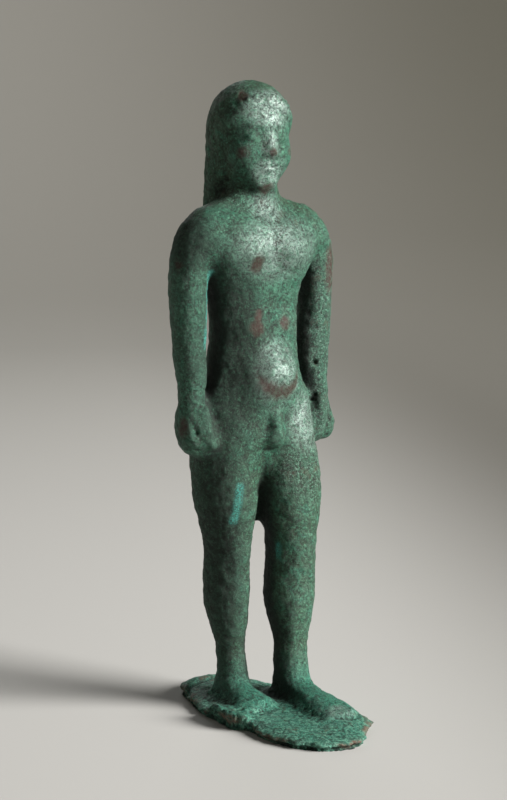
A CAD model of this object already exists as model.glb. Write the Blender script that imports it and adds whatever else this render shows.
"""Looks of the kouros figurine: a solid-cast bronze youth with a worn green patina, on its own plate.

Blender 4.5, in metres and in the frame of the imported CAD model: +Z up, the figure faces -Y, and +X is
its own left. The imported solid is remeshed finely, sculpted in code, and stands for the CAD node.
"""

import math
from types import SimpleNamespace

import bmesh
import bpy
import numpy as np
from mathutils import Matrix, Vector, noise
from mathutils.bvhtree import BVHTree
from mathutils.kdtree import KDTree

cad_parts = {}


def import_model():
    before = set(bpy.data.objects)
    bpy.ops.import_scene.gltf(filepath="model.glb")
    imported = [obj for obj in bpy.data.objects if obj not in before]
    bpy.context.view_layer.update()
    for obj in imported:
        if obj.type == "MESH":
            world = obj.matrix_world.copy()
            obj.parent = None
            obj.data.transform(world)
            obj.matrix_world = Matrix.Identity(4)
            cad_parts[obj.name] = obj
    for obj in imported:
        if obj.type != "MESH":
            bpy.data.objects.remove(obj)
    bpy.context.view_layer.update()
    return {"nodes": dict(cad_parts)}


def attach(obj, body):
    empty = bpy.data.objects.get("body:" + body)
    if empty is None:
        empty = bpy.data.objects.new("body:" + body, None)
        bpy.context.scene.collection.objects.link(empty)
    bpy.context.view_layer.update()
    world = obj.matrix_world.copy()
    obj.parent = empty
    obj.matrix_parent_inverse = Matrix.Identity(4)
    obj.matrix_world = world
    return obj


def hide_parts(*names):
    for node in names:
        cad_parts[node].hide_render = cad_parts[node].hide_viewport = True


MM = 0.001
NODE = "kouros_figurine"

# The sculpting is in millimetres in the body's frame, as the CAD drawing is: its origin is the body's
# axis on top of the plate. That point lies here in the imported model.
BODY_ORIGIN = np.array([-0.40, 10.24, 2.2])
CHIN = 101.6
HEAD_TURN = math.radians(7)

# The photograph's camera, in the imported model's frame, in millimetres. The picture is 800 px high.
CAMERA_AT = Vector((-229.1, -293.2, 120.0))
CAMERA_AIM = Vector((-0.4, 10.2, 62.0))
FOCAL_LENGTH_PX = 1926
PICTURE_HEIGHT_PX = 800
SENSOR = 36.0

VOXEL = 0.435  # spacing of the sculpted mesh


def smoothstep(value, start, end):
    t = np.clip((value - start) / (end - start), 0, 1)
    return t * t * (3 - 2 * t)


def noise_at(points, scale, offset=(0, 0, 0)):
    """Smooth noise around 0 at each point, with so many waves to the millimetre."""
    shift = Vector(offset)
    return np.array([noise.noise(Vector(p) * scale + shift) for p in points])


# Mesh helpers


def edges_of(mesh):
    edges = np.empty(len(mesh.edges) * 2, np.int64)
    mesh.edges.foreach_get("vertices", edges)
    return edges.reshape(-1, 2)


def points_of(mesh):
    points = np.empty(len(mesh.vertices) * 3, np.float32)
    mesh.vertices.foreach_get("co", points)
    return points.reshape(-1, 3).astype(float)


def normals_of(mesh):
    normals = np.empty(len(mesh.vertices) * 3, np.float32)
    mesh.vertex_normals.foreach_get("vector", normals)
    return normals.reshape(-1, 3).astype(float)


def set_points(mesh, points):
    mesh.vertices.foreach_set("co", points.astype(np.float32).ravel())
    mesh.update()


def neighbour_mean(values, edges):
    """The mean of each vertex's neighbours, for one column of values or several."""
    count = len(values)
    a, b = edges.T
    degree = np.bincount(a, minlength=count) + np.bincount(b, minlength=count)
    columns = values.reshape(count, -1)
    total = [
        np.bincount(a, c[b], minlength=count) + np.bincount(b, c[a], minlength=count)
        for c in columns.T
    ]
    return (np.array(total).T / degree[:, None]).reshape(values.shape)


def smooth(values, edges, rounds, share=0.5):
    for _ in range(rounds):
        values = values + share * (neighbour_mean(values, edges) - values)
    return values


def relax(points, edges, rounds):
    """Smooths a surface without shrinking it."""
    for _ in range(rounds):
        points = smooth(points, edges, 1, 0.6)
        points = smooth(points, edges, 1, -0.62)
    return points


def dense_copy(source, spacing):
    """The source's form as a fine even mesh, in millimetres in the body's frame."""
    mesh = source.data.copy()
    mesh.materials.clear()
    mesh.transform(Matrix.Scale(1 / MM, 4))
    welder = bmesh.new()
    welder.from_mesh(mesh)
    bmesh.ops.remove_doubles(welder, verts=welder.verts, dist=1e-3)
    welder.to_mesh(mesh)
    welder.free()
    draft = bpy.data.objects.new("draft", mesh)
    bpy.context.scene.collection.objects.link(draft)
    remesh = draft.modifiers.new("even", "REMESH")
    remesh.mode = "VOXEL"
    remesh.voxel_size = spacing
    graph = bpy.context.evaluated_depsgraph_get()
    fine = bpy.data.meshes.new_from_object(draft.evaluated_get(graph))
    bpy.data.objects.remove(draft)
    fine.transform(Matrix.Translation(-Vector(BODY_ORIGIN)))
    return fine


def to_head(points):
    """Places in the head's own frame: x across, y back, z up from the chin."""
    c, s = math.cos(HEAD_TURN), math.sin(HEAD_TURN)
    x, y, z = points[:, 0], points[:, 1] - 1, points[:, 2]
    return np.column_stack([x * c - y * s, x * s + y * c, z - CHIN])


def from_head(points):
    c, s = math.cos(HEAD_TURN), math.sin(HEAD_TURN)
    x, y, z = np.asarray(points, float).T
    return np.column_stack([x * c + y * s, y * c - x * s + 1, z + CHIN])


def refine(mesh, wanted):
    """Splits the faces whose corners are all wanted, for finer carving there."""
    work = bmesh.new()
    work.from_mesh(mesh)
    work.verts.ensure_lookup_table()
    chosen = {f for f in work.faces if all(wanted[v.index] for v in f.verts)}
    edges = {e for f in chosen for e in f.edges}
    bmesh.ops.subdivide_edges(work, edges=list(edges), cuts=1, use_grid_fill=True)
    work.to_mesh(mesh)
    work.free()
    mesh.update()


# Carving


def snap(tree, path):
    """Moves the points of a path onto the surface."""
    return np.array([tree.find_nearest(Vector(p))[0] for p in path])


def distance_to(points, path):
    """Distance to a line of points, and how far along it the nearest place is, from 0 to 1."""
    best = np.full(len(points), np.inf)
    along = np.zeros(len(points))
    if len(path) == 1:
        return np.linalg.norm(points - path[0], axis=1), along
    pieces = len(path) - 1
    for i, (a, b) in enumerate(zip(path, path[1:])):
        line = b - a
        t = np.clip((points - a) @ line / max(line @ line, 1e-9), 0, 1)
        d = np.linalg.norm(points - a - t[:, None] * line, axis=1)
        nearer = d < best
        best[nearer] = d[nearer]
        along[nearer] = (i + t[nearer]) / pieces
    return best, along


END_SHARE = 0.35  # of a long ridge's height, at the ends of its path


def ridge(points, tree, path, width, height):
    """Height of a soft ridge along a path on the surface, or of a groove where height is negative."""
    path = snap(tree, path)
    low, high = path.min(0) - width, path.max(0) + width
    near = np.all((points > low) & (points < high), axis=1)
    result = np.zeros(len(points))
    if not near.any():
        return result
    d, along = distance_to(points[near], path)
    profile = np.clip(1 - (d / width) ** 2, 0, 1) ** 2
    if len(path) > 2:
        profile *= END_SHARE + (1 - END_SHARE) * np.sin(math.pi * np.clip(along, 0, 1)) ** 0.5
    result[near] = height * profile
    return result


def lines(points, tree, rows):
    """Height of many ridges together. Each row is a path, a width and a height."""
    total = np.zeros(len(points))
    for path, width, height in rows:
        total += ridge(points, tree, path, width, height)
    return total


def mirrored(path):
    return [(-x, y, z) for x, y, z in path]


# The face's own lines, in the head's frame, on the figure's left and mirrored: path, width, height
FACE_SIDE = [
    ([(0.9, -8, 12.3), (2.6, -8, 13.0), (4.6, -7, 12.3)], 1.1, 0.16),  # brow
    ([(1.7, -8, 11.8), (3.0, -8, 12.1), (4.3, -7, 11.6)], 0.6, -0.12),  # crease under it
    ([(1.5, -8, 10.5), (2.3, -8, 11.1), (3.2, -8, 11.2), (4.5, -7, 10.4)], 0.5, 0.11),  # upper lid
    ([(1.6, -8, 10.3), (2.5, -8, 9.8), (3.4, -8, 9.8), (4.5, -7, 10.3)], 0.5, 0.07),  # lower lid
    ([(1.6, -8, 9.2), (2.8, -8, 8.8), (4.0, -7, 9.0)], 0.8, -0.08),  # under the eye
    ([(1.5, -8, 7.9), (1.9, -8, 7.0), (2.4, -7, 6.0)], 0.8, -0.10),  # beside the nose
    ([(0.75, -9, 6.45)], 0.45, -0.14),  # nostril
    ([(2.2, -8, 4.6)], 0.5, -0.10),  # corner of the mouth
    ([(0.35, -9, 5.35), (1.2, -8, 5.2), (1.9, -8, 4.8)], 0.45, 0.08),  # upper lip
]
FACE_MIDDLE = [
    ([(-2.0, -8, 4.55), (-0.9, -8, 4.5), (0, -8, 4.5), (0.9, -8, 4.5), (2.0, -8, 4.55)], 0.4, -0.16),
    ([(-1.3, -8, 3.95), (0, -8, 3.8), (1.3, -8, 3.95)], 0.6, 0.10),  # lower lip
    ([(-1.0, -8, 3.05), (0, -8, 2.95), (1.0, -8, 3.05)], 0.7, -0.14),  # under it
    ([(0, -8, 6.2), (0, -8, 5.6)], 0.45, -0.08),  # groove above the lips
]


def face(points, tree):
    rows = []
    for path, width, height in FACE_SIDE:
        rows.append((from_head(path), width, height))
        rows.append((from_head(mirrored(path)), width, height))
    for path, width, height in FACE_MIDDLE:
        rows.append((from_head(path), width, height))
    return lines(points, tree, rows)


def fringe(points, tree):
    """Low bumps in the rolled hair over the forehead."""
    total = np.zeros(len(points))
    for t in np.linspace(-1, 1, 11):
        at = (6.2 * math.sin(t * 1.05), 1.2 - 8.2 * math.cos(t * 0.95), 18.3 - 2.6 * t * t)
        total += ridge(points, tree, from_head([at]), 0.8, 0.24 + 0.06 * math.sin(9 * t))
    return total


def locks(points, tree):
    """Shallow strips down the long hair."""
    total = np.zeros(len(points))
    for k in range(-6, 7):
        turn = 0.3 * k + 0.05 * math.sin(5 * k)
        x, y = 9 * math.sin(turn), 2 + 9 * math.cos(turn)
        path = [(x, y, 15), (x, y, 9), (x, y, 2), (x, y, -5)]
        total += ridge(points, tree, from_head(path), 1.0, -0.13 - 0.03 * math.sin(3 * k))
    return total


# Lines of the body, in its frame: path, width, height
BODY_LINES = [
    ([(0.8, -8, 95), (0.8, -8, 90)], 5.5, 0.6),  # breastbone
    ([(-4.6, -8, 90.4)], 4.6, 0.55),  # breasts
    ([(4.6, -8, 90.2)], 4.8, 0.85),
    ([(0, 9, 92), (0, 6, 82), (0, 5, 72), (0, 6, 66)], 1.6, -0.3),  # spine
    ([(0, 9, 57), (0, 9, 51)], 1.5, -0.4),  # between the buttocks
    ([(-8.5, 5, 90), (-5.5, 6, 84)], 2.0, 0.25),  # shoulder blades
    ([(8.5, 5, 90), (5.5, 6, 84)], 2.0, 0.25),
    ([(0.2, -9, 66.5)], 5.6, 0.45),  # belly
    ([(-0.3, -8, 84), (-0.2, -8, 78), (-0.2, -8, 72)], 1.1, -0.12),  # midline of the belly
    ([(0.1, -10, 63.3)], 0.8, -0.25),  # navel
    ([(-10.5, -5, 61), (-6.5, -8, 57.5), (-2.6, -9, 53.5)], 1.9, -0.12),  # groins
    ([(10.5, -5, 61), (6.5, -8, 57.5), (2.6, -9, 53.5)], 1.9, -0.12),
    ([(-10.6, -4, 31.6), (-7.8, -6, 33.2), (-4.8, -5, 31.4)], 1.0, 0.14),  # above the knees
    ([(-9.8, -5, 27.2), (-7.6, -6, 26.4), (-5.0, -5, 27.2)], 1.0, 0.12),
    ([(2.6, -8, 31.6), (5.4, -11, 33.2), (8.2, -9, 31.4)], 1.0, 0.14),
    ([(2.8, -9, 27.2), (5.4, -11, 26.4), (8.0, -9, 27.2)], 1.0, 0.12),
]

# The fists: folds at the wrist, the thumb's two sides and the fingers, on the figure's right
FIST_LINES = [
    ([(-17.2, -2.6, 57.6), (-16.6, -3.4, 56.2), (-15.2, -3.8, 53.2)], 0.8, -0.22),
    ([(-17.6, -2.0, 56.4), (-17.2, -2.6, 54.0), (-15.8, -3.2, 52.0)], 0.8, 0.22),  # curled finger
    ([(-12.6, -4.0, 58.0), (-12.2, -5.0, 55.0), (-11.8, -5.0, 52.0)], 0.9, -0.18),
    ([(-16.2, -3.4, 55.0)], 0.65, -0.55),  # hole in the fist
    ([(-18.4, -1.8, 53.6), (-16.6, -3.0, 53.2)], 0.6, -0.18),
    ([(-17.8, -1.0, 51.4), (-15.6, -3.2, 51.2)], 0.6, -0.18),
]
WRIST_FOLDS = [(-15.2, -2.9, z) for z in (60.2, 61.6, 63.0, 64.4)]
WRIST_HOLES = [(13.3, -2.1, 59.2), (13.9, -2.2, 60.0), (14.2, -2.0, 66.5)]
LEFT_FIST_OUT = 0.8  # the left fist lies so much further out


def hands(points, tree):
    total = np.zeros(len(points))
    for side, out in ((1, 0), (-1, LEFT_FIST_OUT)):
        for path, width, height in FIST_LINES:
            moved = [(side * x + out, y, z) for x, y, z in path]
            total += ridge(points, tree, moved, width, height)
        for x, y, z in WRIST_FOLDS:
            path = [(side * (x - 0.9), y + 0.4, z + 0.4), (side * (x + 0.9), y, z - 0.3)]
            total += ridge(points, tree, path, 0.42, -0.2)
    for hole in WRIST_HOLES:
        total += ridge(points, tree, [hole], 0.8, -0.8)
    return total


# The feet: the ankle's x and y, and the length from there to the tips of the toes
FEET = {"right": (-5.5, -0.2, 11.4), "left": (4.4, -7.0, 18.4)}
TOE_GAPS = (0.9, -0.3, -1.4, -2.4)  # across the foot, from the big toe outward


def toes(points, tree):
    total = np.zeros(len(points))
    for name, (x, y, length) in FEET.items():
        tip = y - length
        inner = 1 if name == "right" else -1
        for k, gap in enumerate(TOE_GAPS):
            across = x - 1.2 * (length / FEET["left"][2]) + inner * gap
            path = [(across, tip + 2.0 + 0.3 * k, 3), (across, tip + 0.3 * k, 1)]
            total += ridge(points, tree, path, 0.5, -0.2)
    return total


# Lines of the plate: a crack behind a raised tongue of metal at its right edge, and a sheet that laps
# over another at the back
CRACK = [(-15.6, -3.6, -0.2), (-14.4, -7.2, 0.2), (-13.2, -9.6, 0.6), (-11.0, -10.9, 0.8)]
PLATE_LINES = [
    (CRACK, 0.6, -1.0),
    ([(-13.0, 5.6, 0), (-9.6, 9.0, 0), (-5.4, 11.2, 0), (-1.0, 12.0, 0), (3.0, 11.6, 0)], 0.8, -0.5),
    ([(-8.0, -27.0, 0), (-5.4, -29.6, 0), (-4.6, -32.4, 0)], 0.8, -0.25),
]
TONGUE_RIM = [(-14.8, -5.4, 0), (-15.5, -9.4, 0), (-15.2, -12.8, 0), (-13.6, -15.2, 0)]
BACK_SHEET = [(-11.4, 9.4, 0), (-7.2, 12.4, 0), (-2.0, 13.8, 0), (3.4, 13.2, 0)]


def plate_form(points, normals, base):
    """Bends and breaks the plate's rim: its edge is ragged, undercut below, and curls up in places."""
    moved = points.copy()
    on_rim = 1 - smoothstep(points[:, 2], 0.4, 1.6)
    sideways = normals * (1, 1, 0)
    ragged = 0.75 * noise_at(points * (1, 1, 0.6), 0.42, (5, 2, 8))
    ragged += 0.45 * noise_at(points * (1, 1, 0.5), 1.1)
    ragged += 0.25 * noise_at(points * (1, 1, 1.5), 2.3)
    under = 1 - smoothstep(points[:, 2], base + 0.3, base + 1.1)
    moved += sideways * ((ragged - 0.9 * under) * on_rim)[:, None]
    for path, width, lift in ((TONGUE_RIM, 2.6, 1.2), (BACK_SHEET, 2.6, 0.6)):
        d, _ = distance_to(points * (1, 1, 0), np.array(path, float))
        bend = np.clip(1 - (d / width) ** 2, 0, 1) ** 2 * smoothstep(points[:, 2], base, base + 1.2)
        moved[:, 2] += lift * bend * on_rim
    return moved


# Forms that corrosion has softened: centre, radii, rounds of smoothing
MELTED = [
    ((-5.0, -11.5, 1.2), (4, 3, 2), 30),  # right toes
    ((-12.4, -4.6, 54.6), (2.2, 2.6, 4.5), 16),  # thumbs
    ((12.4, -4.6, 54.6), (2.2, 2.6, 4.5), 10),
    ((0, -9, 55), (2.6, 3, 4), 10),
    ((-0.9, -6.4, 119.6), (5, 3, 2), 8),  # the roll of hair over the forehead
]


def melt(points, edges, weight, rounds):
    """Softens the form where weight is high."""
    soft = smooth(points, edges, rounds)
    return points + (soft - points) * weight[:, None]


# The unevenness of the corroded skin: height of a noise, its waves per millimetre, its offset
SKIN_NOISES = [(0.18, 0.16, (0, 0, 0)), (0.15, 0.5, (7, 3, 1)), (0.12, 1.15, (1, 9, 4))]


def relief(points):
    return sum(size * noise_at(points, scale, offset) for size, scale, offset in SKIN_NOISES)


# Masks that the patina follows


RAYS = 28  # from each sampled point
RAY_LENGTH = 22
RAY_START = 0.25  # above the surface
SAMPLED = 14  # one point in so many


def openness(points, normals, edges, tree):
    """How much of the sky each point sees, from 0 to 1: rays from a sample of the points, spread out."""
    rng = np.random.default_rng(4)
    rays = rng.normal(size=(RAYS, 3))
    rays /= np.linalg.norm(rays, axis=1)[:, None]
    chosen = np.arange(0, len(points), SAMPLED)
    found = np.empty(len(chosen))
    places = KDTree(len(chosen))
    for row, i in enumerate(chosen):
        start = Vector(points[i] + normals[i] * RAY_START)
        directions = rays * np.sign(rays @ normals[i])[:, None]
        weights = directions @ normals[i]
        clear = [tree.ray_cast(start, Vector(d), RAY_LENGTH)[0] is None for d in directions]
        found[row] = np.dot(clear, weights) / weights.sum()
        places.insert(Vector(points[i]), row)
    places.balance()
    spread = np.array([found[places.find(Vector(p))[1]] for p in points])
    return smooth(spread, edges, 10)


def bulge(points, normals, edges, rounds):
    """How far each point stands proud of its smoothed surroundings, negative in hollows."""
    return ((points - smooth(points, edges, rounds)) * normals).sum(1)


# Smooth brown spots where the patina is rubbed through: place in the body's frame, radii x, y, z
WORN = [
    ((-4.6, -7.5, 87.7), (1.5, 2.0, 1.8)),  # right breast
    ((-3.8, -6.5, 75.0), (1.6, 2.0, 1.7)),  # rib arch
    ((-3.4, -6.5, 77.2), (0.8, 2.0, 1.4)),
    ((3.0, -6.5, 75.6), (1.2, 2.0, 1.5)),
    ((17.0, -3.6, 85.6), (1.5, 2.4, 5.2)),  # shoulders
    ((-19.0, -1.6, 88.0), (0.9, 2.0, 2.2)),
    ((-18.4, -1.6, 55.8), (1.2, 2.4, 2.4)),  # right fist
]
# The worn crescent under the belly: its middle's x and z, how it rises to its ends, and its notch
CRESCENT_MIDDLE = 0.5
CRESCENT_BOTTOM = 62.3
CRESCENT_RISE = 0.11
CRESCENT_NOTCH = 0.4
# The head's worn places: place in its frame, radius
WORN_HEAD = [
    ((-4.6, -5.6, 7.4), 1.4),
    ((4.6, -5.6, 7.4), 1.2),
    ((0, -9.4, 7.2), 1.0),
    ((0, -6.2, 0.3), 1.5),
    ((-4.6, -5.0, 18.6), 1.4),
]
# Places that handling has made glossy: place in the body's frame, radii
POLISHED = [
    ((0.6, -7.5, 90.5), (8.5, 5, 5.2)),  # chest
    ((0.2, -9.5, 66.5), (5.4, 5, 6.2)),  # belly
    ((7.5, -7.0, 55.5), (3.6, 4, 5.5)),  # left groin
    ((0.0, -5.5, 98.0), (3.4, 4, 3.0)),  # neck
    ((2.4, -25.0, 1.2), (2.6, 2.2, 1.6)),  # left toes
]
# The same on the head, in its frame
POLISHED_HEAD = [
    ((1.5, -6.5, 18.2), (4.4, 3.4, 1.3)),
    ((0.6, -7, 15.6), (4.8, 5, 3.2)),
    ((0, -9, 8), (1.6, 4, 3.5)),
    ((0.5, -8, 3), (3.4, 4, 3)),
]
# Bare red-brown metal on the plate's edge, and darker patina on the body: centre and radii
BARE_EDGE = [
    ((-15.2, -11.5, -0.2), (2.4, 3.6, 1.0)),
    ((-13.4, -23.0, -0.8), (2.0, 5.0, 1.0)),
    ((-4.0, -36.0, -0.8), (3.0, 2.0, 1.4)),
    ((3.6, -31.0, -0.6), (2.5, 3.0, 1.0)),
]
STAINS = [
    ((-9.0, -5.0, 70), (7.4, 7, 21)),
    ((-10.0, -2.0, 30), (5.4, 7, 30)),
    ((-16.5, -2.0, 92), (5.0, 7, 6)),
]
# Bright fresh blue-green: path and width
STREAKS = [
    ([(-7.9, -6.4, 44.0), (-8.3, -6.2, 41.0), (-9.0, -5.4, 37.0)], 1.2),
    ([(1.3, -6.6, 31.0), (1.3, -6.4, 28.6)], 1.0),
    ([(-12.6, -2.6, 86.0), (-13.0, -2.4, 72.0)], 1.1),
]
# Coarsely pitted places: centre and radius
ROUGH = [
    ((0, -6, 98), 5),
    ((14, -3, 82), 7),
    ((14, -3, 73), 9),
    ((14, -3, 65), 8),
    ((14, -3, 58), 7),
    ((9, -6, 53), 6),
    ((6, -8, 46), 6),
    ((-5, 1, 98), 5),
    ((4, -6, 93), 6),
]


# A spot fades out over this share of its radii, to either side of its edge
SHARP_EDGE = 0.35
SOFT_EDGE = 0.6


def spot(points, centre, radii, soft):
    d = np.linalg.norm((points - centre) / np.asarray(radii, float), axis=1)
    return 1 - smoothstep(d, 1 - soft, 1 + soft)


def spots(points, places, soft=SHARP_EDGE):
    """The strongest of several spots at each point."""
    return np.max([spot(points, centre, radii, soft) for centre, radii in places], axis=0)


def crescent(points):
    """The worn crescent under the belly, notched in the middle."""
    x, y, z = points.T
    across = x - CRESCENT_MIDDLE
    notch = CRESCENT_NOTCH * np.exp(-(across**2) / 0.5)
    arc = CRESCENT_BOTTOM + CRESCENT_RISE * across**2 + notch
    share = 1 - smoothstep(np.abs(z - arc), 0.5, 2.3)
    return share * (1 - smoothstep(np.abs(across), 4.2, 5.6)) * (y < -6)


def worn_places(points, wobble):
    worn = np.maximum(spots(points + wobble, WORN), spots(to_head(points) + wobble, WORN_HEAD))
    return np.maximum(worn, crescent(points + 0.35 * wobble))


def polished_places(points, worn):
    polish = spots(points, POLISHED, SOFT_EDGE)
    polish = np.maximum(polish, spots(to_head(points), POLISHED_HEAD, SOFT_EDGE))
    return np.maximum(polish, 0.1 * worn)


def olive_places(points):
    """The browner green of the legs and the hair."""
    head = to_head(points)
    legs = 1 - smoothstep(points[:, 2], 40, 62)
    hair = smoothstep(np.maximum(head[:, 1] + 4, (head[:, 2] - 17) * 2), -1, 2) * (head[:, 2] > -8)
    return np.maximum(0.6 * legs, 0.7 * hair)


def bare_places(points, normals, edges, uneven):
    """Red-brown metal along the rim of the plate, in patches."""
    rim = smoothstep(bulge(points, normals, edges, 12), 0.02, 0.12) * (points[:, 2] < 0.6)
    patches = smoothstep(noise_at(points, 0.22, (3, 1, 5)), -0.05, 0.3)
    steep = 1 - smoothstep(normals[:, 2], 0.55, 0.9)
    return np.maximum(rim * patches, steep * spots(uneven, BARE_EDGE))


def hollow_places(points, normals, edges, tree):
    """Where dirt gathers: fine dents, and places that see little of the sky."""
    dents = smoothstep(-bulge(points, normals, edges, 6), 0.01, 0.09)
    hidden = smoothstep(-openness(points, normals, edges, tree), -0.68, -0.34)
    return np.clip(0.7 * dents + hidden, 0, 1)


def fresh_places(uneven, tree):
    fresh = np.zeros(len(uneven))
    for path, width in STREAKS:
        d, _ = distance_to(uneven, snap(tree, path))
        fresh = np.maximum(fresh, 1 - smoothstep(d, width * 0.3, width))
    return fresh


def pitted_places(points, polish):
    rough = 0.4 * (1 - smoothstep(points[:, 2], 0.3, 1.5))
    for centre, radius in ROUGH:
        d = np.linalg.norm(points - centre, axis=1)
        rough = np.maximum(rough, 1 - smoothstep(d, radius * 0.5, radius * 1.15))
    return rough * (1 - 0.6 * polish)


def masks(points, normals, edges, tree):
    """Where each kind of surface lies, from 0 to 1 at each point."""
    wobble = 0.5 * noise_at(points, 0.7)[:, None]
    uneven = points + wobble
    worn = worn_places(points, wobble)
    polish = polished_places(points, worn)
    return {
        "worn": worn,
        "polish": polish,
        "olive": olive_places(points),
        "stain": spots(points, STAINS, SOFT_EDGE),
        "earth": bare_places(points, normals, edges, uneven),
        "hollow": hollow_places(points, normals, edges, tree),
        "proud": smoothstep(bulge(points, normals, edges, 30), 0.02, 0.2),
        "fresh": fresh_places(uneven, tree),
        "rough": pitted_places(points, polish),
    }


def store(mesh, name, values):
    attribute = mesh.attributes.new(name, "FLOAT", "POINT")
    attribute.data.foreach_set("value", values.astype(np.float32))


# The whole figurine


def hairline(head):
    """How near each point is to the edge of the hair around the face."""
    offset = head[:, 1] + 7.4 * smoothstep(head[:, 2], 8, 17.5)
    return np.exp(-(offset**2) / 5) * smoothstep(head[:, 2], 2, 6)


def soften(mesh, base):
    """Rounds the facets, the hairline and the melted places. Returns the points and which are the face's."""
    points = points_of(mesh)
    edges = edges_of(mesh)
    underside = (normals_of(mesh)[:, 2] < -0.7) & (points[:, 2] < base + 0.4)
    points = relax(points, edges, 14)
    points[underside, 2] = base
    head = to_head(points)
    points = melt(points, edges, 0.85 * hairline(head), 14)
    for centre, radii, rounds in MELTED:
        weight = np.exp(-np.sum(((points - centre) / radii) ** 2, axis=1))
        points = melt(points, edges, weight, rounds)
    points[underside, 2] = base
    set_points(mesh, points)
    x, y, z = head.T
    return points, (np.abs(x) < 6.6) & (y < -2.6) & (z > 0) & (z < 19)


def rim_or_crack(points, normals, base):
    """Which points lie on the side of the plate or beside its crack."""
    crack, _ = distance_to(points * (1, 1, 0), np.array(CRACK) * (1, 1, 0))
    on_plate = (points[:, 2] < 1.2) & (points[:, 2] > base + 0.1)
    return on_plate & ((normals[:, 2] < 0.85) | (crack < 1.8))


def surface_tree(mesh, points):
    return BVHTree.FromPolygons([Vector(p) for p in points], [p.vertices[:] for p in mesh.polygons])


def carve(mesh, base):
    """Breaks the rim of the plate, carves the fine forms and keeps the underside flat."""
    points = points_of(mesh)
    underside = points[:, 2] < base + 0.05
    points = plate_form(points, normals_of(mesh), base)
    set_points(mesh, points)
    normals = normals_of(mesh)
    tree = surface_tree(mesh, points)
    height = face(points, tree) + fringe(points, tree) + locks(points, tree)
    height += lines(points, tree, BODY_LINES)
    height += hands(points, tree) + toes(points, tree) + lines(points, tree, PLATE_LINES)
    head = to_head(points)
    on_face = smoothstep(-head[:, 1], 3.0, 5.0) * smoothstep(head[:, 2], -1.0, 1.0)
    height += relief(points) * (1 - 0.6 * on_face)
    height *= smoothstep(points[:, 2], base, base + 0.8)
    points = points + normals * height[:, None]
    points[underside, 2] = base
    points[:, 2] = np.maximum(points[:, 2], base)
    set_points(mesh, points)
    return points


def sculpt(source):
    """The figurine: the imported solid's form with the finer carving and the patina's masks."""
    mesh = dense_copy(source, VOXEL)
    base = points_of(mesh)[:, 2].min()
    points, is_face = soften(mesh, base)
    refine(mesh, is_face | rim_or_crack(points, normals_of(mesh), base))
    points = carve(mesh, base)
    tree = surface_tree(mesh, points)
    for name, values in masks(points, normals_of(mesh), edges_of(mesh), tree).items():
        store(mesh, name, values)
    mesh.transform(Matrix.Translation(Vector(BODY_ORIGIN)))
    mesh.transform(Matrix.Scale(MM, 4))
    mesh.shade_smooth()
    figure = bpy.data.objects.new("figurine", mesh)
    bpy.context.scene.collection.objects.link(figure)
    return figure


# Materials


class Graph:
    """Adds nodes to a material in one line each."""

    def __init__(self, name):
        self.material = bpy.data.materials.new(name)
        self.material.use_nodes = True
        self.tree = self.material.node_tree
        self.tree.nodes.clear()

    def add(self, kind, inputs=None, output=0, **settings):
        node = self.tree.nodes.new("ShaderNode" + kind)
        for key, value in settings.items():
            setattr(node, key, value)
        for key, value in (inputs or {}).items():
            if isinstance(value, bpy.types.NodeSocket):
                self.tree.links.new(value, node.inputs[key])
            else:
                node.inputs[key].default_value = value
        return node.outputs[output] if node.outputs else None

    def math(self, operation, a, b=0.0):
        return self.add("Math", {0: a, 1: b}, operation=operation)

    def times(self, a, b):
        return self.math("MULTIPLY", a, b)

    def noise(self, place, scale, detail, rough, distortion=0.0):
        inputs = {"Vector": place, "Scale": scale, "Detail": detail, "Roughness": rough}
        inputs["Distortion"] = distortion
        return self.add("TexNoise", inputs)

    def step(self, value, start, end, low=0.0, high=1.0):
        inputs = {"Value": value, "From Min": start, "From Max": end, "To Min": low, "To Max": high}
        return self.add("MapRange", inputs, interpolation_type="SMOOTHSTEP")

    def mix(self, share, a, b):
        return self.add("Mix", {0: share, 6: a, 7: b}, output=2, data_type="RGBA")

    def attribute(self, name):
        return self.add("Attribute", output=2, attribute_name=name)


def rgb(r, g, b):
    """A colour from its screen values, 0 to 255."""
    return tuple(((c / 255 + 0.055) / 1.055) ** 2.4 if c > 10 else c / 3294 for c in (r, g, b)) + (1,)


MASKS = ("worn", "polish", "olive", "stain", "earth", "hollow", "proud", "fresh", "rough")


def patina_noises(g, place, up):
    """The patina's irregular patterns. Their scales are in waves per millimetre."""
    n = SimpleNamespace(
        blotch=g.noise(place, 0.13, 4, 0.6, 0.4),
        cloud=g.noise(place, 0.45, 5, 0.65, 0.6),
        fleck=g.noise(place, 1.6, 4, 0.7),
        grain=g.noise(place, 3.4, 3, 0.75),
        scratch=g.noise(place, 2.4, 4, 0.8, 1.6),
    )
    # thin winding lines, broken up by the scratches and weaker on the plate
    line = g.math("ABSOLUTE", g.math("SUBTRACT", g.noise(place, 1.1, 4, 0.7, 1.4), 0.5))
    line = g.times(g.step(line, 0.055, 0.012), g.step(n.scratch, 0.44, 0.54))
    n.vein = g.times(line, g.step(up, 1.5, 4.0, 0.3, 1.0))
    return n


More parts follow.
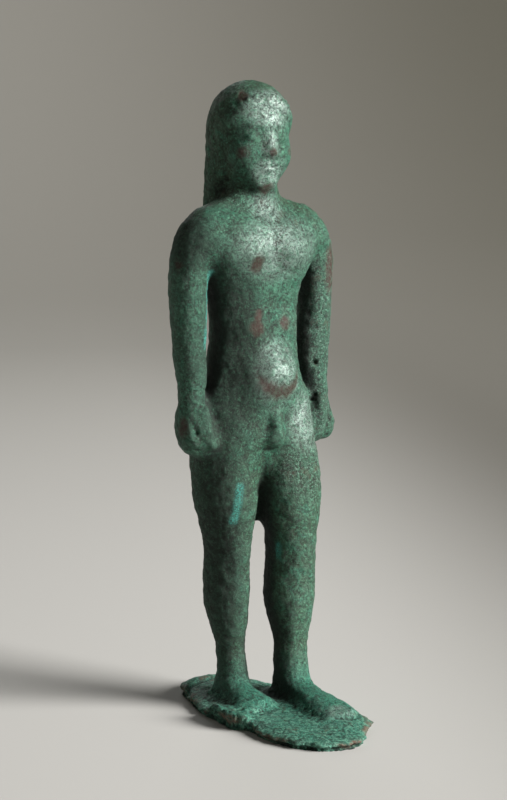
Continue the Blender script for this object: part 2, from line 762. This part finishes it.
def patina_colour(g, n, mask, up):
    """Greens, laid over each other from the oldest layer to the last, and what lies on them."""
    clean = g.step(mask["stain"], 0, 1, 1, 0.35)
    on_plate = g.step(up, 4.5, 1.5)
    dirt = g.times(mask["rough"], g.step(n.fleck, 0.5, 0.42))
    rust = g.times(mask["rough"], g.step(n.cloud, 0.55, 0.62))
    bare = g.times(mask["earth"], g.step(n.fleck, 0.36, 0.56))
    layers = [
        (mask["olive"], rgb(44, 68, 42)),
        (g.step(up, 13.0, 3.0, 0, 0.85), rgb(40, 128, 108)),  # teal on the feet and the plate
        (g.step(n.cloud, 0.48, 0.68, 0, 0.7), rgb(42, 116, 92)),
        (g.times(mask["polish"], g.step(n.cloud, 0.38, 0.58, 0.45, 0.85)), rgb(148, 168, 160)),
        (g.step(n.cloud, 0.45, 0.3, 0, 0.55), rgb(44, 48, 34)),
        (g.times(mask["stain"], 0.9), rgb(10, 31, 19)),
        (g.times(clean, g.step(n.fleck, 0.51, 0.62, 0, 0.6)), rgb(66, 124, 97)),
        (g.step(n.fleck, 0.48, 0.38, 0, 0.8), rgb(17, 30, 21)),
        (g.times(clean, g.step(n.grain, 0.56, 0.68, 0, 0.55)), rgb(92, 146, 118)),
        (g.step(n.grain, 0.45, 0.35, 0, 0.6), rgb(14, 23, 17)),
        (g.times(mask["rough"], g.step(n.grain, 0.53, 0.62, 0, 0.8)), rgb(128, 166, 148)),
        (g.times(on_plate, g.step(n.cloud, 0.52, 0.4, 0, 0.6)), rgb(16, 52, 43)),
        (g.times(on_plate, g.step(n.fleck, 0.5, 0.6, 0, 0.75)), rgb(112, 168, 146)),
        (g.times(n.vein, 0.85), rgb(12, 20, 15)),
        (g.times(dirt, 0.65), rgb(24, 23, 16)),
        (g.times(rust, 0.5), rgb(70, 52, 34)),
        (g.times(mask["proud"], 0.2), rgb(76, 116, 98)),
        (g.times(mask["hollow"], 0.85), rgb(12, 18, 13)),
        (g.times(mask["fresh"], g.step(n.scratch, 0.42, 0.56)), rgb(62, 150, 138)),
        (g.times(bare, 0.85), rgb(92, 54, 40)),
        (g.times(mask["worn"], g.step(n.fleck, 0.4, 0.6, 0.9, 0.7)), rgb(54, 29, 20)),
    ]
    colour = g.mix(g.step(n.blotch, 0.36, 0.64), rgb(33, 78, 58), rgb(44, 99, 77))
    for share, tint in layers:
        colour = g.mix(share, colour, tint)
    return colour


def patina_roughness(g, n, mask):
    """Glossy where it is polished, dull in hollows and stains."""
    dull = g.times(g.math("MAXIMUM", mask["hollow"], mask["stain"]), 0.25)
    shine = g.step(mask["polish"], 0.0, 0.8, 0.6, 0.31)
    shine = g.math("ADD", shine, g.step(n.fleck, 0.35, 0.65, 0.04, -0.04))
    return g.math("ADD", shine, dull)


def patina_relief(g, n, mask, place):
    """Bumps too fine for the mesh, in millimetres, lower where the metal is worn."""
    pits = g.add("TexVoronoi", {"Vector": place, "Scale": 0.9, "Randomness": 1.0})
    height = g.times(n.fleck, g.step(mask["polish"], 0, 1, 0.26, 0.1))
    others = [
        g.times(n.grain, g.step(mask["polish"], 0, 1, 0.1, 0.04)),
        g.times(n.scratch, g.step(mask["rough"], 0, 1, 0.04, 0.34)),
        g.times(n.vein, -0.09),
        g.times(g.step(pits, 0.3, 0.12), g.step(mask["rough"], 0.1, 0.9, -0.01, -0.09)),
    ]
    for other in others:
        height = g.math("ADD", height, other)
    height = g.times(height, g.math("SUBTRACT", 1.0, g.times(mask["worn"], 0.4)))
    return g.add("Bump", {"Height": height, "Distance": MM, "Strength": 1.0})


def patina():
    g = Graph("patinated_bronze")
    here = g.add("TexCoord", output=3)
    place = g.add("VectorMath", {0: here, 3: 1 / MM}, operation="SCALE")
    up = g.add("SeparateXYZ", {0: place}, output=2)
    n = patina_noises(g, place, up)
    mask = {name: g.attribute(name) for name in MASKS}
    skin = g.add(
        "BsdfPrincipled",
        {
            "Base Color": patina_colour(g, n, mask, up),
            "Roughness": patina_roughness(g, n, mask),
            "Metallic": 0.1,
            "Specular IOR Level": 0.55,
            "Normal": patina_relief(g, n, mask, place),
        },
    )
    g.add("OutputMaterial", {"Surface": skin})
    return g.material


def paper():
    """The studio ground: pale at the figure, greyer towards its left and further off."""
    g = Graph("studio_ground")
    here = g.add("TexCoord", output=3)
    left = g.add("VectorMath", {0: here, 1: (0.89, -0.48, 0)}, output=1, operation="DOT_PRODUCT")
    far = g.add("VectorMath", {0: here}, output=1, operation="LENGTH")
    colour = g.mix(g.step(left, 0.0, 0.15), rgb(184, 183, 180), rgb(92, 90, 84))
    wall = g.mix(g.step(left, -0.1, 0.45), rgb(140, 138, 132), rgb(96, 94, 85))
    colour = g.mix(g.step(far, 0.0, 0.8), colour, wall)
    skin = g.add("BsdfPrincipled", {"Base Color": colour, "Roughness": 0.9, "Specular IOR Level": 0.1})
    g.add("OutputMaterial", {"Surface": skin})
    return g.material


# Studio

# The ground, in metres: radius of the flat floor, radius of the curve, and height of the wall
GROUND_RADIUS = 0.6
GROUND_CURVE = 1.2
GROUND_WALL = 1.5
CURVE_STEPS = 12
ROUND_STEPS = 96


def ground():
    """A round pale floor that curves up into a wall."""
    profile = [(0.0, 0.0), (0.25, 0.0), (GROUND_RADIUS, 0.0)]
    for k in range(1, CURVE_STEPS + 1):
        turn = math.pi / 2 * k / CURVE_STEPS
        profile.append(
            (GROUND_RADIUS + GROUND_CURVE * math.sin(turn), GROUND_CURVE * (1 - math.cos(turn)))
        )
    profile.append((profile[-1][0], GROUND_WALL))
    work = bmesh.new()
    verts = [work.verts.new((r, 0, z)) for r, z in profile]
    edges = [work.edges.new(pair) for pair in zip(verts, verts[1:])]
    bmesh.ops.spin(
        work,
        geom=verts + edges,
        cent=(0, 0, 0),
        axis=(0, 0, 1),
        angle=2 * math.pi,
        steps=ROUND_STEPS,
        use_merge=True,
        use_duplicate=False,
    )
    bmesh.ops.remove_doubles(work, verts=work.verts, dist=1e-5)
    bmesh.ops.recalc_face_normals(work, faces=work.faces)
    mesh = bpy.data.meshes.new("ground")
    work.to_mesh(mesh)
    work.free()
    mesh.shade_smooth()
    mesh.materials.append(paper())
    floor = bpy.data.objects.new("ground", mesh)
    floor.visible_shadow = False  # the lamps stand outside the wall
    bpy.context.scene.collection.objects.link(floor)


def camera():
    data = bpy.data.cameras.new("camera")
    data.sensor_width = SENSOR
    data.lens = SENSOR * FOCAL_LENGTH_PX / PICTURE_HEIGHT_PX
    data.clip_start = 0.01
    data.clip_end = 20
    eye = bpy.data.objects.new("camera", data)
    eye.location = CAMERA_AT * MM
    eye.rotation_euler = (CAMERA_AIM - CAMERA_AT).to_track_quat("-Z", "Y").to_euler()
    bpy.context.scene.collection.objects.link(eye)
    bpy.context.scene.camera = eye


def softbox(name, right, nearer, up, size, power, colour):
    """A lamp placed from the object as the camera sees it: millimetres to the right, nearer and up."""
    forward = (CAMERA_AIM - CAMERA_AT) * Vector((1, 1, 0))
    forward.normalize()
    side = forward.cross(Vector((0, 0, 1)))
    at = CAMERA_AIM + side * right - forward * nearer + Vector((0, 0, up))
    data = bpy.data.lights.new(name, "AREA")
    data.shape = "DISK"
    data.size = size * MM
    data.energy = power
    data.color = colour
    lamp = bpy.data.objects.new(name, data)
    lamp.location = at * MM
    lamp.rotation_euler = (CAMERA_AIM - at).to_track_quat("-Z", "Y").to_euler()
    bpy.context.scene.collection.objects.link(lamp)


def light():
    softbox("key", 1870, 520, 790, size=1100, power=130, colour=(1.0, 0.985, 0.96))
    softbox("back", -300, -2300, 1300, size=1400, power=12, colour=(0.96, 0.98, 1.0))
    world = bpy.data.worlds.new("studio")
    world.use_nodes = True
    background = world.node_tree.nodes["Background"]
    background.inputs["Color"].default_value = (0.9, 0.92, 0.95, 1)
    background.inputs["Strength"].default_value = 0.03
    bpy.context.scene.world = world
    bpy.context.scene.view_settings.view_transform = "Standard"


def main():
    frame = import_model()
    camera()
    light()
    ground()
    figure = sculpt(frame["nodes"][NODE])
    figure.data.materials.append(patina())
    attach(figure, "root")
    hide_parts(NODE)


main()
